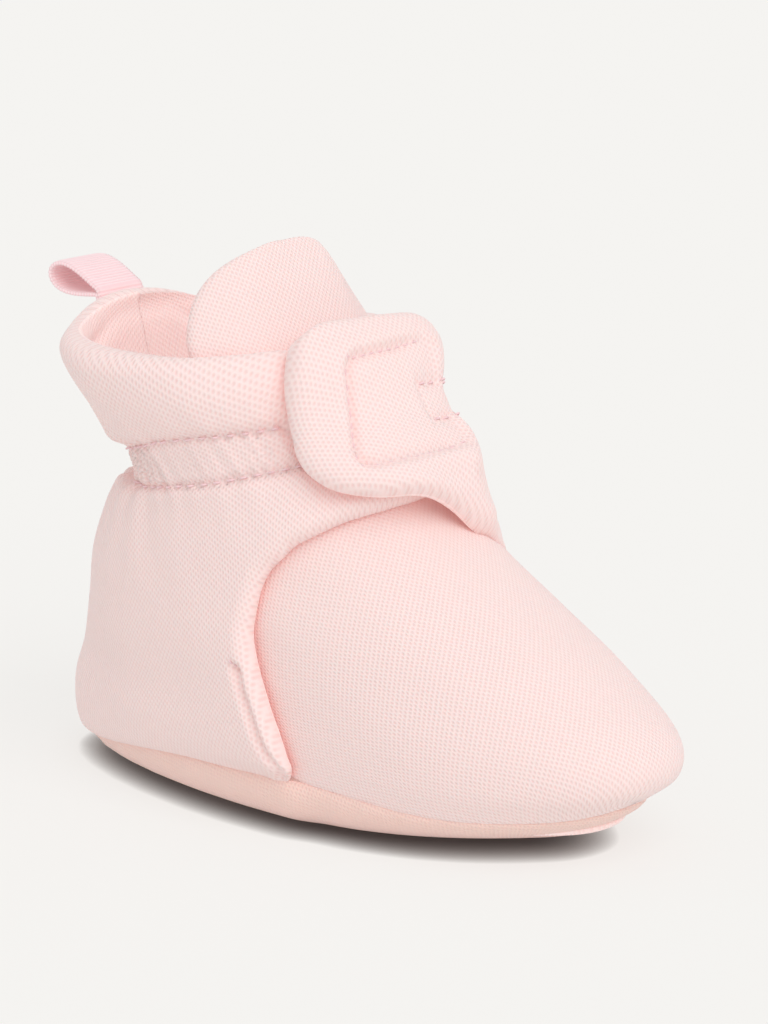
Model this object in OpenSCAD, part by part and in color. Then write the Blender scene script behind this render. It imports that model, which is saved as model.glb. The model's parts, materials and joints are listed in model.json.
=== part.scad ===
/* [Overall size] */
// Length of the foot, between heel and toe, without the fabric bulging over the sole
foot_length = 106; // [97:1:122]
// Width of the foot at the ball
foot_width = 47; // [43:1:53]
// Height of the front of the collar above the ground
collar_height = 69; // [64:0.5:75]

/* [Fabric layers] */
// Thickness of the outer knit
shell_thick = 0.9; // [0.6:0.05:1]
// Thickness of the wadding between the knit and the lining
padding_thick = 1.55; // [1:0.05:1.6]
// Thickness of the lining
lining_thick = 0.75; // [0.5:0.05:0.8]
// Air between neighbouring layers
layer_gap = 0.05; // [0.03:0.01:0.08]
// Air between the foot of the bootie and the flaps that lie on it
flap_gap = 0.6; // [0.5:0.05:0.8]

/* [Elastic and tapes] */
// Thickness of the ankle elastic
elastic_thick = 0.6; // [0.4:0.05:0.7]
// Thickness of one hook or loop tape
tape_thick = 0.65; // [0.5:0.05:0.7]
// Width of a sewing thread as it lies on the knit
thread_width = 0.6; // [0.4:0.1:0.8]

/* [Pull loop] */
// Width of the grosgrain ribbon
ribbon_width = 10; // [8:0.5:11]
// Thickness of the ribbon
ribbon_thick = 0.8; // [0.5:0.1:1]
// Length of the loop from the collar to its tip
loop_length = 12.5; // [10:0.5:16]
// Height of the loop at its fattest point
loop_height = 6; // [5:0.5:9]

/* [Grip dots] */
// Radius of one dot
dot_radius = 0.9; // [0.6:0.1:1.2]
// Distance between neighbouring dots
dot_pitch = 6; // [5:0.5:9]
// Height of the sole fabric above the ground
dot_height = 1; // [0.6:0.1:1.2]

/* [Hidden] */

// The colours of the fabrics
PINK = "#f8dcd8";
LINING_PINK = "#f3cfc9";
WHITE = "#f7f4f0";
THREAD_PINK = "#eebfc6";
RIBBON_PINK = "#f6c9cf";

// The foot is described by rings, stacked from the sole seam (s = 0) to the collar's rim (s = 1) and
// on up the tongue (s > 1). Each ring lies in the plane through one point of the front ridge and one
// point of the heel line, parallel to the Y axis. An angle t runs round it: 0 is the toe, -90 the near
// side, 90 the far side and 180 the heel.
// Front ridge: [s, x, z]
FRONT = [
    [0, 50.4, 8.2], [0.10, 55.5, 12.8], [0.22, 54.5, 18.3], [0.36, 45, 25.4], [0.50, 33.3, 32.7],
    [0.62, 21.3, 40.2], [0.72, 11.8, 48], [0.80, 4.9, 54.6], [0.88, 0.6, 60], [1, -6.2, 69.2],
    [1.10, -12.3, 76.8], [1.20, -18, 86]
];
// Heel line: [s, x, z]
BACK = [
    [0, -55.5, 5], [0.10, -54, 11.5], [0.22, -50.8, 19], [0.36, -49.2, 27.5], [0.50, -47.5, 35.4],
    [0.62, -44.2, 42], [0.72, -39.9, 47.2], [0.80, -38.3, 51], [0.88, -41.3, 56.5], [1, -50, 70.3],
    [1.10, -47.8, 77.9], [1.20, -45.8, 85.7]
];
// Half width, how much fuller the toe end is than the heel end, how much lower the seam lies beside the toe
// than beside the heel, and how far the seam arches up at the waist: [s, w, k, drop, arch]
WIDTH = [
    [0, 22.8, 0.10, 3.6, 2], [0.10, 23.6, 0.10, 1.9, 0.6], [0.22, 23.5, 0.08, 1.2, 0], [0.36, 23, 0.04, 0, 0],
    [0.50, 22.1, 0, 0, 0], [0.62, 21, -0.03, 0, 0], [0.72, 20.2, -0.04, 0, 0], [0.80, 20.2, -0.04, 0, 0],
    [0.88, 21, -0.04, 0, 0], [1, 25.2, -0.05, 0, 0], [1.10, 23.7, -0.05, 0, 0], [1.20, 20.6, -0.05, 0, 0]
];
ROUNDNESS = 0.93;

SCALE_X = foot_length / 106;
SCALE_Y = foot_width / 47;
SCALE_Z = collar_height / 69;

// Where the pieces end: angles of the two fold lines, and ring heights of the elastic's casing
FLAP_FOLD = -84;
STRAP_FOLD = 76;
FOLD_GAP = 0.9;
CASING_LOW = 0.79;
CASING_HIGH = 0.885;
TONGUE_BASE = 0.80;
TONGUE_TOP = 1.195;

function smooth(t) = let (c = min(1, max(0, t))) c * c * (3 - 2 * c);
function power(v, p) = sign(v) * pow(abs(v), p);

// A smooth curve through the rows of a table, whose first column is the key
function slope(rows, i) =
    let (a = max(0, i - 1), b = min(len(rows) - 1, i + 1))
    (rows[b] - rows[a]) / (rows[b][0] - rows[a][0]);
function row_before(rows, t, i = 0) =
    (i >= len(rows) - 2 || t < rows[i + 1][0]) ? i : row_before(rows, t, i + 1);
function curve(rows, t) =
    let (
        i = row_before(rows, t),
        h = rows[i + 1][0] - rows[i][0],
        u = min(1, max(0, (t - rows[i][0]) / h)),
        u2 = u * u,
        u3 = u2 * u
    )
    rows[i] * (2 * u3 - 3 * u2 + 1) + slope(rows, i) * h * (u3 - 2 * u2 + u)
        + rows[i + 1] * (3 * u2 - 2 * u3) + slope(rows, i + 1) * h * (u3 - u2);

// A point of the foot's surface
function base(s, t) =
    let (
        f = curve(FRONT, s),
        b = curve(BACK, s),
        w = curve(WIDTH, s),
        along = power(cos(t), ROUNDNESS),
        across = power(sin(t), ROUNDNESS),
        rise = w[4] * pow(sin(t), 6) - w[3] * sin(t) * sin(t) * cos(t)
    )
    [
        SCALE_X * ((f[1] + b[1]) / 2 + along * (f[1] - b[1]) / 2),
        SCALE_Y * w[1] * across * (1 + w[2] * cos(t)),
        SCALE_Z * ((f[2] + b[2]) / 2 + along * (f[2] - b[2]) / 2 + rise)
    ];
function unit(v) = v / norm(v);
function normal(s, t) =
    unit(cross(base(s, t + 0.5) - base(s, t - 0.5), base(s + 0.001, t) - base(s - 0.001, t)));
function skin(s, t, off) = base(s, t) + off * normal(s, t);

// Offsets of the layers of the foot's front (vamp and tongue), counted inward from the surface
VAMP_LAYERS = [
    [-shell_thick, 0],
    [-shell_thick - layer_gap - padding_thick, -shell_thick - layer_gap],
    [-shell_thick - 2 * layer_gap - padding_thick - lining_thick, -shell_thick - 2 * layer_gap - padding_thick]
];
// The wrap is thinner at the sole seam, and its casing pinches it
WRAP_THICK = shell_thick + padding_thick + lining_thick + 2 * layer_gap;
function pinch(s) = smooth((s - CASING_LOW + 0.02) / 0.02) * (1 - smooth((s - CASING_HIGH) / 0.02));
function wrap_lining_top(s) = lining_thick;
function wrap_padding_base(s) = lining_thick + layer_gap + pinch(s) * (elastic_thick + 2 * layer_gap);
function wrap_shell_base(s) =
    lining_thick + 2 * layer_gap + padding_thick * (0.35 + 0.65 * smooth(s / 0.12)) - 0.25 * pinch(s);
function wrap_top(s) = wrap_shell_base(s) + shell_thick;

// The flap lies on the vamp and the tongue, and the strap lies on the flap at its free end
TAPE_SPACE = 2 * tape_thick + 0.5;
function strap_lift(t) = flap_gap + (WRAP_THICK + TAPE_SPACE - flap_gap / 2) * (1 - smooth((t - 22) / 40));

// Outlines of the strap, the flap and the tongue: [angle, lowest s, highest s]
STRAP_EDGE = [
    [-47, 0.765, 0.810], [-45.5, 0.745, 0.845], [-40.5, 0.728, 0.905], [-35, 0.720, 0.965],
    [-27.5, 0.713, 1.005], [-16.5, 0.708, 1.024], [-1, 0.700, 1.020], [11, 0.664, 1.012], [26, 0.615, 1.005],
    [50, 0.560, 1], [STRAP_FOLD, 0.470, 1]
];
FLAP_EDGE = [
    [FLAP_FOLD, 0.490, 1], [-80, 0.545, 1], [-74, 0.593, 1], [-61.5, 0.650, 1], [-42.5, 0.690, 1],
    [-22, 0.708, 1], [-6, 0.715, 0.985], [10, 0.722, 0.950], [22, 0.735, 0.920]
];
// Half angle of the tongue over its height, from its root to its rounded top
function tongue_angle(u) = 62 * pow(1 - pow(u, 7), 0.42);

// A soft sheet between two offsets of the foot's surface. rows by columns cells, whose corner (u, v)
// is the [s, t] that at(u, v) gives, with t growing with v.
module sheet(rows, columns, at, low, high) {
    count = (rows + 1) * (columns + 1);
    function index(i, j) = i * (columns + 1) + j;
    corners = [for (i = [0:rows]) for (j = [0:columns]) at(i / rows, j / columns)];
    points = concat(
        [for (c = corners) skin(c[0], c[1], high(c[0], c[1]))],
        [for (c = corners) skin(c[0], c[1], low(c[0], c[1]))]
    );
    outside = [for (i = [0:rows - 1]) for (j = [0:columns - 1])
        [index(i, j), index(i + 1, j), index(i + 1, j + 1), index(i, j + 1)]];
    function halves(q) = [[q[0], q[1], q[2]], [q[0], q[2], q[3]]];
    function reverse(q) = [q[2] + count, q[1] + count, q[0] + count];
    function wall(a, b) = [[a, b, b + count], [a, b + count, a + count]];
    skins = [for (q = outside) for (h = halves(q)) h];
    edges = concat(
        [for (j = [0:columns - 1]) for (w = wall(index(0, j), index(0, j + 1))) w],
        [for (i = [0:rows - 1]) for (w = wall(index(i, columns), index(i + 1, columns))) w],
        [for (j = [0:columns - 1]) for (w = wall(index(rows, j + 1), index(rows, j))) w],
        [for (i = [0:rows - 1]) for (w = wall(index(i + 1, 0), index(i, 0))) w]
    );
    polyhedron(points, concat(skins, [for (h = skins) reverse(h)], edges));
}

// A sewing thread that lies on the fabric, along a list of [s, t], with its middle at offset off
module thread(path, off) {
    last = len(path) - 1;
    half_high = 0.2;
    places = [for (p = path) skin(p[0], p[1], off)];
    function section(i) =
        let (
            up = normal(path[i][0], path[i][1]),
            ahead = unit(places[min(last, i + 1)] - places[max(0, i - 1)]),
            side = unit(cross(up, ahead)) * thread_width / 2,
            rise = up * half_high
        )
        [places[i] - side - rise, places[i] + side - rise, places[i] + side + rise, places[i] - side + rise];
    rings = [for (i = [0:last]) section(i)];
    polyhedron(
        [for (r = rings) each r],
        concat(
            [[0, 1, 2], [0, 2, 3]],
            [for (i = [0:last - 1]) for (k = [0:3])
                let (a = 4 * i + k, b = 4 * i + (k + 1) % 4) each [[a, a + 4, b + 4], [a, b + 4, b]]],
            [[4 * last + 2, 4 * last + 1, 4 * last], [4 * last + 3, 4 * last + 2, 4 * last]]
        )
    );
}

// A row of stitches at ring height s between two angles
function stitch_row(s, from, to, steps) = [for (i = [0:steps]) [s, from + (to - from) * i / steps]];

// A dished sole layer. It is flat in its middle and curls up to the sole seam, seam_gap below the upper.
// share is how much of that curl it follows.
SOLE_FLAT = 0.74;
SOLE_SECTORS = 32;
SOLE_CURL = 4;
module tray(low_off, low_floor, high_off, high_floor, share = 1) {
    seam_gap = 0.4;
    function place(off, floor_z, k, j) =
        let (
            rim = skin(0, 360 * j / SOLE_SECTORS - 180, off),
            curl = 90 * max(0, k) / SOLE_CURL,
            r = k < 0 ? SOLE_FLAT : SOLE_FLAT + (1 - SOLE_FLAT) * sin(curl),
            rise = share * max(0, rim[2] - seam_gap - floor_z) * (1 - cos(curl))
        )
        [rim[0] * r, rim[1] * r, floor_z + rise];
    function layer(off, floor_z) = concat(
        [for (k = [0:SOLE_CURL]) for (j = [0:SOLE_SECTORS - 1]) place(off, floor_z, k, j)],
        [[0, 0, floor_z]]
    );
    count = (SOLE_CURL + 1) * SOLE_SECTORS + 1;
    function index(k, j) = k * SOLE_SECTORS + (j % SOLE_SECTORS);
    middle = [for (j = [0:SOLE_SECTORS - 1]) [count - 1, index(0, j), index(0, j + 1)]];
    curled = [for (k = [0:SOLE_CURL - 1]) for (j = [0:SOLE_SECTORS - 1])
        each [
            [index(k, j), index(k + 1, j), index(k + 1, j + 1)],
            [index(k, j), index(k + 1, j + 1), index(k, j + 1)]
        ]];
    below = concat(middle, curled);
    above = [for (f = below) [f[2] + count, f[1] + count, f[0] + count]];
    rim = [for (j = [0:SOLE_SECTORS - 1])
        let (a = index(SOLE_CURL, j), b = index(SOLE_CURL, j + 1))
        each [[a, a + count, b + count], [a, b + count, b]]];
    polyhedron(concat(layer(low_off, low_floor), layer(high_off, high_floor)), concat(below, above, rim));
}

// Sole: outer knit, wadding and the footbed lining, and the silicone dots under it
SOLE_TOP = dot_height + shell_thick;
PAD_TOP = SOLE_TOP + 2.1;
module sole_shell() { color(PINK) tray(1.1, dot_height, 0.2, SOLE_TOP); }
module sole_padding() { color(WHITE) tray(0.1, SOLE_TOP + layer_gap, -2.6, PAD_TOP); }
module insole() {
    inset = -3.8;
    base_z = PAD_TOP + 0.3;
    color(LINING_PINK) tray(inset, base_z, inset, base_z + lining_thick, share = 0.9);
}
module grip_dots() {
    row_pitch = dot_pitch * sqrt(3) / 2;
    rows = ceil(foot_width / 2 / row_pitch);
    steps = ceil(foot_length / 2 / dot_pitch);
    // True where a dot lies on the flat of the sole
    function on_sole(x, y) =
        let (rim = skin(0, atan2(y / WIDTH[0][1], x / FRONT[0][1]), 0))
        norm([x, y]) + 1.5 * dot_radius < (SOLE_FLAT - 0.01) * norm([rim[0], rim[1]]);
    color("white")
        for (i = [-rows:rows], j = [-steps:steps]) {
            x = (j + (i % 2 == 0 ? 0 : 0.5)) * dot_pitch;
            y = i * row_pitch;
            if (on_sole(x, y)) translate([x, y, 0]) cylinder(h = dot_height - 0.02, r = dot_radius, $fn = 24);
        }
}

// Vamp: it runs from the sole seam over the toe to the tongue, and its sides reach under the wrap
VAMP_TOP = TONGUE_BASE - 0.006;
module vamp_layer(n) {
    sheet(9, 14,
        function (u, v) [VAMP_TOP * pow(u, 0.9), (2 * v - 1) * (100 - 38 * smooth(2 * u - 1))],
        function (s, t) VAMP_LAYERS[n][0],
        function (s, t) VAMP_LAYERS[n][1]);
}
module vamp_shell() { color(PINK) vamp_layer(0); }
module vamp_padding() { color(WHITE) vamp_layer(1); }
module vamp_lining() { color(LINING_PINK) vamp_layer(2); }

// Tongue: it goes on from the vamp and bends forward at its root
module tongue_layer(n) {
    sheet(8, 10,
        function (u, v) [TONGUE_BASE + (TONGUE_TOP - TONGUE_BASE) * u, (2 * v - 1) * tongue_angle(0.985 * u)],
        function (s, t) VAMP_LAYERS[n][0],
        function (s, t) VAMP_LAYERS[n][1]);
}
module tongue_shell() { color(PINK) tongue_layer(0); }
module tongue_padding() { color(WHITE) tongue_layer(1); }
module tongue_lining() { color(LINING_PINK) tongue_layer(2); }

// Layers of the wrap, counted outward, on a sheet whose underside is lifted by lift(t)
module wrap_layer(n, rows, columns, at, lift) {
    bottoms = [function (s) 0, function (s) wrap_padding_base(s), function (s) wrap_shell_base(s)];
    tops = [
        function (s) wrap_lining_top(s),
        function (s) wrap_shell_base(s) - layer_gap,
        function (s) wrap_top(s)
    ];
    sheet(rows, columns, at,
        function (s, t) lift(t) + bottoms[n](s),
        function (s, t) lift(t) + tops[n](s));
}

// Quarters: each wraps one side of the heel, from the centre-back seam to its fold line
QUARTER_ROWS = [0, 0.05, 0.12, 0.22, 0.36, 0.50, 0.62, 0.71, 0.77, 0.79, 0.885, 0.905, 0.95, 1];
QUARTER_COLUMNS = 9;
BACK_SEAM_GAP = 0.15;
// The rim rises to a low peak at the centre back, where the pull loop is sewn in
function rim_peak(s, t) = 0.02 * exp(-pow((180 - abs(t)) / 22, 2)) * smooth((s - 0.905) / 0.095);
function quarter_at(from, to) =
    function (u, v)
        let (s = QUARTER_ROWS[round(u * (len(QUARTER_ROWS) - 1))], t = from + (to - from) * v)
        [s + rim_peak(s, t), t];
module quarter_layer(n, from, to) {
    wrap_layer(n, len(QUARTER_ROWS) - 1, QUARTER_COLUMNS, quarter_at(from, to), function (t) flap_gap);
}
module near_quarter_layer(n) { quarter_layer(n, BACK_SEAM_GAP - 180, FLAP_FOLD - FOLD_GAP); }
module far_quarter_layer(n) { quarter_layer(n, STRAP_FOLD + FOLD_GAP, 180 - BACK_SEAM_GAP); }
module near_quarter_lining() { color(LINING_PINK) near_quarter_layer(0); }
module near_quarter_padding() { color(WHITE) near_quarter_layer(1); }
module near_quarter_shell() { color(PINK) near_quarter_layer(2); }
module far_quarter_lining() { color(LINING_PINK) far_quarter_layer(0); }
module far_quarter_padding() { color(WHITE) far_quarter_layer(1); }
module far_quarter_shell() { color(PINK) far_quarter_layer(2); }

// Side flap: the near front of the wrap, under the strap
module flap_layer(n) {
    wrap_layer(n, 8, 10,
        function (u, v) let (t = FLAP_FOLD + (22 - FLAP_FOLD) * v, e = curve(FLAP_EDGE, t)) [e[1] + (e[2] - e[1]) * u, t],
        function (t) flap_gap);
}
module flap_lining() { color(LINING_PINK) flap_layer(0); }
module flap_padding() { color(WHITE) flap_layer(1); }
module flap_shell() { color(PINK) flap_layer(2); }

// Strap: the far front of the wrap, which crosses over the instep onto the flap
STRAP_TIP = STRAP_EDGE[0][0];
module strap_layer(n) {
    wrap_layer(n, 8, 14,
        function (u, v)
            let (t = STRAP_TIP + (STRAP_FOLD - STRAP_TIP) * pow(v, 1.2), e = curve(STRAP_EDGE, t))
            [e[1] + (e[2] - e[1]) * u, t],
        function (t) strap_lift(t));
}
module strap_lining() { color(LINING_PINK) strap_layer(0); }
module strap_padding() { color(WHITE) strap_layer(1); }
module strap_shell() { color(PINK) strap_layer(2); }

// Elastic: one band round the ankle, from the flap's casing round the heel to the strap
module elastic_band(from, to, columns, lift) {
    sheet(1, columns,
        function (u, v) [CASING_LOW + (CASING_HIGH - CASING_LOW) * u, from + (to - from) * v],
        function (s, t) lift(t) + lining_thick + layer_gap,
        function (s, t) lift(t) + lining_thick + layer_gap + elastic_thick);
}
module ankle_elastic() {
    color(WHITE) {
        elastic_band(BACK_SEAM_GAP - 180, FLAP_FOLD - FOLD_GAP, QUARTER_COLUMNS, function (t) flap_gap);
        elastic_band(STRAP_FOLD + FOLD_GAP, 180 - BACK_SEAM_GAP, QUARTER_COLUMNS, function (t) flap_gap);
    }
}
module flap_elastic() { color(WHITE) elastic_band(FLAP_FOLD, -30, 6, function (t) flap_gap); }
module strap_elastic() { color(WHITE) elastic_band(11, STRAP_FOLD, 7, function (t) strap_lift(t)); }

// Stitches of the casing, just above the shell
THREAD_RISE = 0.45;
CASING_ROWS = [CASING_LOW, CASING_HIGH];
module casing_thread() {
    color(THREAD_PINK) for (s = CASING_ROWS) {
        thread(stitch_row(s, BACK_SEAM_GAP - 179.5, FLAP_FOLD - FOLD_GAP, 9), flap_gap + wrap_top(s) + THREAD_RISE);
        thread(stitch_row(s, STRAP_FOLD + FOLD_GAP, 179.5, 9), flap_gap + wrap_top(s) + THREAD_RISE);
    }
}
module flap_casing_thread() {
    color(THREAD_PINK) for (s = CASING_ROWS)
        thread(stitch_row(s, FLAP_FOLD, -50, 4), flap_gap + wrap_top(s) + THREAD_RISE);
}
module strap_casing_thread() {
    color(THREAD_PINK) for (s = CASING_ROWS)
        for (part = [[11, 22], [24, 36], [38, 52], [54, 68]])
            thread([[s, part[0]], [s, part[1]]],
                max(strap_lift(part[0]), strap_lift(part[1])) + wrap_top(s) + 0.7);
}

// Tacks that hold the two lower corners of the wrap to the vamp
module side_tack_thread() {
    tack = [[0.36, 0.345], [0.375, 0.36]];
    color(THREAD_PINK) for (t = [FLAP_FOLD - 4, STRAP_FOLD + 4])
        thread([for (s = tack[1]) [s, t]], flap_gap + wrap_top(0.36) + THREAD_RISE);
}

// Hook and loop tapes, face to face under the strap's free end
TAPE_AREA = [[0.765, -25], [0.940, 10]];
TAPE_BASE = flap_gap + WRAP_THICK + 0.12;
module tape(off) {
    sheet(4, 6,
        function (u, v) [
            TAPE_AREA[0][0] + (TAPE_AREA[1][0] - TAPE_AREA[0][0]) * u,
            TAPE_AREA[0][1] + (TAPE_AREA[1][1] - TAPE_AREA[0][1]) * v
        ],
        function (s, t) off,
        function (s, t) off + tape_thick);
}
module loop_tape() { color("#f6d7d4") tape(TAPE_BASE); }
module hook_tape() { color("#f9efec") tape(TAPE_BASE + tape_thick + 0.25); }

// The box of stitches round a tape
module box_thread(off, margin) {
    // How many degrees round the instep are as long as one unit of ring height
    degrees_per_ring = 200;
    low = [TAPE_AREA[0][0] + margin, TAPE_AREA[0][1] + degrees_per_ring * margin];
    high = [TAPE_AREA[1][0] - margin, TAPE_AREA[1][1] - degrees_per_ring * margin];
    middle = (low[1] + high[1]) / 2;
    inset = 0.008;
    color(THREAD_PINK) {
        thread([[low[0], low[1]], [low[0], middle], [low[0], high[1]]], off);
        thread([[high[0], low[1]], [high[0], middle], [high[0], high[1]]], off);
        thread([[low[0] + inset, low[1]], [high[0] - inset, low[1]]], off);
        thread([[low[0] + inset, high[1]], [high[0] - inset, high[1]]], off);
    }
}
module loop_tape_thread() { box_thread(TAPE_BASE + 0.3, -0.008); }
module hook_tape_thread() { box_thread(strap_lift(0) + WRAP_THICK + THREAD_RISE, 0); }

// Pull loop: a ribbon folded back on itself, sewn into the rim at the centre back
LOOP_ROOT = [SCALE_X * -50 - 3.6, 0, SCALE_Z * 72.1 + 1.8];
LOOP_TILT = 12;
// Outline of the folded ribbon in its own plane, u along the loop and half its height h
function loop_half(u) = ribbon_thick + (loop_height / 2 - ribbon_thick) * pow(sin(180 * pow(u, 1.7)), 0.8);
module pull_loop() {
    steps = 16;
    outer = [for (i = [0:steps]) let (u = i / steps) [-loop_length * u, max(0, loop_half(u) - (u == 1 ? ribbon_thick : 0))]];
    inner_from = 3;
    inner_to = steps - 1;
    inner = [for (i = [inner_from:inner_to]) outer[i] - [i == inner_to ? -ribbon_thick : 0, ribbon_thick]];
    function mirrored(points) = [for (i = [len(points) - 1:-1:0]) [points[i][0], -points[i][1]]];
    color(RIBBON_PINK)
        translate(LOOP_ROOT)
            rotate([90, LOOP_TILT, 0])
                linear_extrude(height = ribbon_width, center = true)
                    difference() {
                        polygon(concat([for (i = [0:steps - 1]) outer[i]], [outer[steps]], mirrored([for (i = [0:steps - 1]) outer[i]])));
                        polygon(concat(inner, mirrored(inner)));
                    }
}

sole_shell();
sole_padding();
insole();
grip_dots();
vamp_shell();
vamp_padding();
vamp_lining();
near_quarter_shell();
near_quarter_padding();
near_quarter_lining();
far_quarter_shell();
far_quarter_padding();
far_quarter_lining();
ankle_elastic();
casing_thread();
side_tack_thread();
tongue_shell();
tongue_padding();
tongue_lining();
flap_shell();
flap_padding();
flap_lining();
flap_elastic();
flap_casing_thread();
loop_tape();
loop_tape_thread();
strap_shell();
strap_padding();
strap_lining();
strap_elastic();
strap_casing_thread();
hook_tape();
hook_tape_thread();
pull_loop();
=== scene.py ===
"""The looks of the baby bootie: padded knit sheets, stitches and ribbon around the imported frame."""

import json
import math

import bmesh
import bpy
import numpy as np
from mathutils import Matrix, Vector


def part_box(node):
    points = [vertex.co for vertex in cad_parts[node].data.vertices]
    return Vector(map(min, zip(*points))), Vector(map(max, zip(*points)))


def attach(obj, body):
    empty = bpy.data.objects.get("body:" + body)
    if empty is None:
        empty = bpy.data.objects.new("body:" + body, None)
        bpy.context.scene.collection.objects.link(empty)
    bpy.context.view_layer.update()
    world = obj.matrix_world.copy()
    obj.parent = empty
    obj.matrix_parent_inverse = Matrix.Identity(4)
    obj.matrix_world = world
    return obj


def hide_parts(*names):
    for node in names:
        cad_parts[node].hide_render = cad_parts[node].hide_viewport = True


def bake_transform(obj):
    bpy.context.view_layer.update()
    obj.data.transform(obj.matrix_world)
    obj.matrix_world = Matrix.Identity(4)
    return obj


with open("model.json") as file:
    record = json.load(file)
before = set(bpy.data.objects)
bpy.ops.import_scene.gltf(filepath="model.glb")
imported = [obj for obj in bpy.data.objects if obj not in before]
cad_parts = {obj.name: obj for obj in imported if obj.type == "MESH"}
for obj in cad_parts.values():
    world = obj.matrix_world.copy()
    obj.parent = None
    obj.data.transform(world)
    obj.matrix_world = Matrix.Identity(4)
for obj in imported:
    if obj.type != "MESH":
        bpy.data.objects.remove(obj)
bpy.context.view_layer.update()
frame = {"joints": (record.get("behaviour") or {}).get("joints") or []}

MM = 0.001
JOINTS = {j["name"]: j for j in frame["joints"]}


# ------------------------------------------------------------
# The foot's surface, in millimetres. Ring s goes from the sole seam (0) to the collar's rim (1) and up the
# tongue, and the angle t in degrees goes round it: 0 toe, -90 near side, 90 far side, 180 heel.

# The centre line at the toe and at the heel: [s, x, z]
FRONT = np.array([
    [0, 50.4, 8.2], [0.10, 55.5, 12.8], [0.22, 54.5, 18.3], [0.36, 45, 25.4], [0.50, 33.3, 32.7],
    [0.62, 21.3, 40.2], [0.72, 11.8, 48], [0.80, 4.9, 54.6], [0.88, 0.6, 60], [1, -6.2, 69.2],
    [1.10, -12.3, 76.8], [1.20, -18, 86],
])
BACK = np.array([
    [0, -55.5, 5], [0.10, -54, 11.5], [0.22, -50.8, 19], [0.36, -49.2, 27.5], [0.50, -47.5, 35.4],
    [0.62, -44.2, 42], [0.72, -39.9, 47.2], [0.80, -38.3, 51], [0.88, -41.3, 56.5], [1, -50, 70.3],
    [1.10, -47.8, 77.9], [1.20, -45.8, 85.7],
])
# Half width, how much wider it is to the front, the sides' drop and the extra lift at the middle: [s, ...]
WIDTH = np.array([
    [0, 22.8, 0.10, 3.6, 2], [0.10, 23.6, 0.10, 1.9, 0.6], [0.22, 23.5, 0.08, 1.2, 0], [0.36, 23, 0.04, 0, 0],
    [0.50, 22.1, 0, 0, 0], [0.62, 21, -0.03, 0, 0], [0.72, 20.2, -0.04, 0, 0], [0.80, 20.2, -0.04, 0, 0],
    [0.88, 21, -0.04, 0, 0], [1, 25.2, -0.05, 0, 0], [1.10, 23.7, -0.05, 0, 0], [1.20, 20.6, -0.05, 0, 0],
])
ROUNDNESS = 0.93
TONGUE_BASE, TONGUE_TOP = 0.80, 1.195
# Half angles of the vamp at the sole and of the tongue at its root
VAMP_HALF, TONGUE_HALF = 100, 62
VAMP_THICK = 3.3
FLAP_GAP = 0.6
WRAP_THICK = 3.4
RING = 80  # millimetres for one whole ring height
DEGREE = 0.42  # millimetres for one degree
SOLE_LENGTH, TONGUE_HEIGHT = 107.7, 85.54


def extent(node, axis):
    """A CAD node's size along an axis, in millimetres."""
    low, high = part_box(node)
    return (high[axis] - low[axis]) / MM


# The frame's own size against the size that the rings above are written for
SCALE_X = extent("sole_shell", 0) / SOLE_LENGTH
SCALE_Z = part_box("tongue_shell")[1][2] / MM / TONGUE_HEIGHT
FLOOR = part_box("sole_shell")[0][2] / MM


def smooth(t):
    """0 below 0, 1 above 1, and an even ease between them."""
    c = np.clip(t, 0, 1)
    return c * c * (3 - 2 * c)


def bump(x, centre, width):
    return np.exp(-((x - centre) / width) ** 2)


def curve(rows, t):
    """A smooth curve through rows, whose first column is the key."""
    rows = np.asarray(rows, float)
    t = np.asarray(t, float)
    keys = rows[:, 0]
    count = len(keys)
    i = np.clip(np.searchsorted(keys, t, side="right") - 1, 0, count - 2)
    before = np.maximum(np.arange(count) - 1, 0)
    after = np.minimum(np.arange(count) + 1, count - 1)
    slopes = (rows[after] - rows[before]) / (keys[after] - keys[before])[:, None]
    h = (keys[i + 1] - keys[i])[..., None]
    u = np.clip((t - keys[i])[..., None] / h, 0, 1)
    u2, u3 = u * u, u ** 3
    return (rows[i] * (2 * u3 - 3 * u2 + 1) + slopes[i] * h * (u3 - 2 * u2 + u)
            + rows[i + 1] * (3 * u2 - 2 * u3) + slopes[i + 1] * h * (u3 - u2))[..., 1:]


def base(s, t):
    """A point of the foot's surface."""
    s, t = np.broadcast_arrays(np.asarray(s, float), np.asarray(t, float))
    f, b, w = curve(FRONT, s), curve(BACK, s), curve(WIDTH, s)
    c, n = np.cos(np.radians(t)), np.sin(np.radians(t))
    along = np.sign(c) * np.abs(c) ** ROUNDNESS
    across = np.sign(n) * np.abs(n) ** ROUNDNESS
    x = (f[..., 0] + b[..., 0]) / 2 + along * (f[..., 0] - b[..., 0]) / 2
    y = w[..., 0] * across * (1 + w[..., 1] * c)
    z = (f[..., 1] + b[..., 1]) / 2 + along * (f[..., 1] - b[..., 1]) / 2
    z = z - w[..., 2] * n * n * c + w[..., 3] * n ** 6
    return np.stack([x * SCALE_X, y, z * SCALE_Z], -1)


def unit(v):
    return v / (np.linalg.norm(v, axis=-1, keepdims=True) + 1e-12)


def normal(s, t):
    """The direction out of the foot's surface."""
    s, t = np.asarray(s, float), np.asarray(t, float)
    return unit(np.cross(base(s, t + 0.5) - base(s, t - 0.5), base(s + 0.001, t) - base(s - 0.001, t)))


def skin(s, t, off):
    """A point off millimetres above the foot's surface."""
    return base(s, t) + normal(s, t) * np.asarray(off, float)[..., None]


def along(points, axis):
    """Running length over a grid of points."""
    steps = np.linalg.norm(np.diff(points, axis=axis), axis=-1)
    zero = np.zeros_like(np.take(steps, [0], axis=axis))
    return np.concatenate([zero, np.cumsum(steps, axis=axis)], axis)


def resampled(points, run, where):
    """The points of a line at other running lengths."""
    return np.stack([np.interp(where, run, points[:, k]) for k in range(3)], -1)


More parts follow.
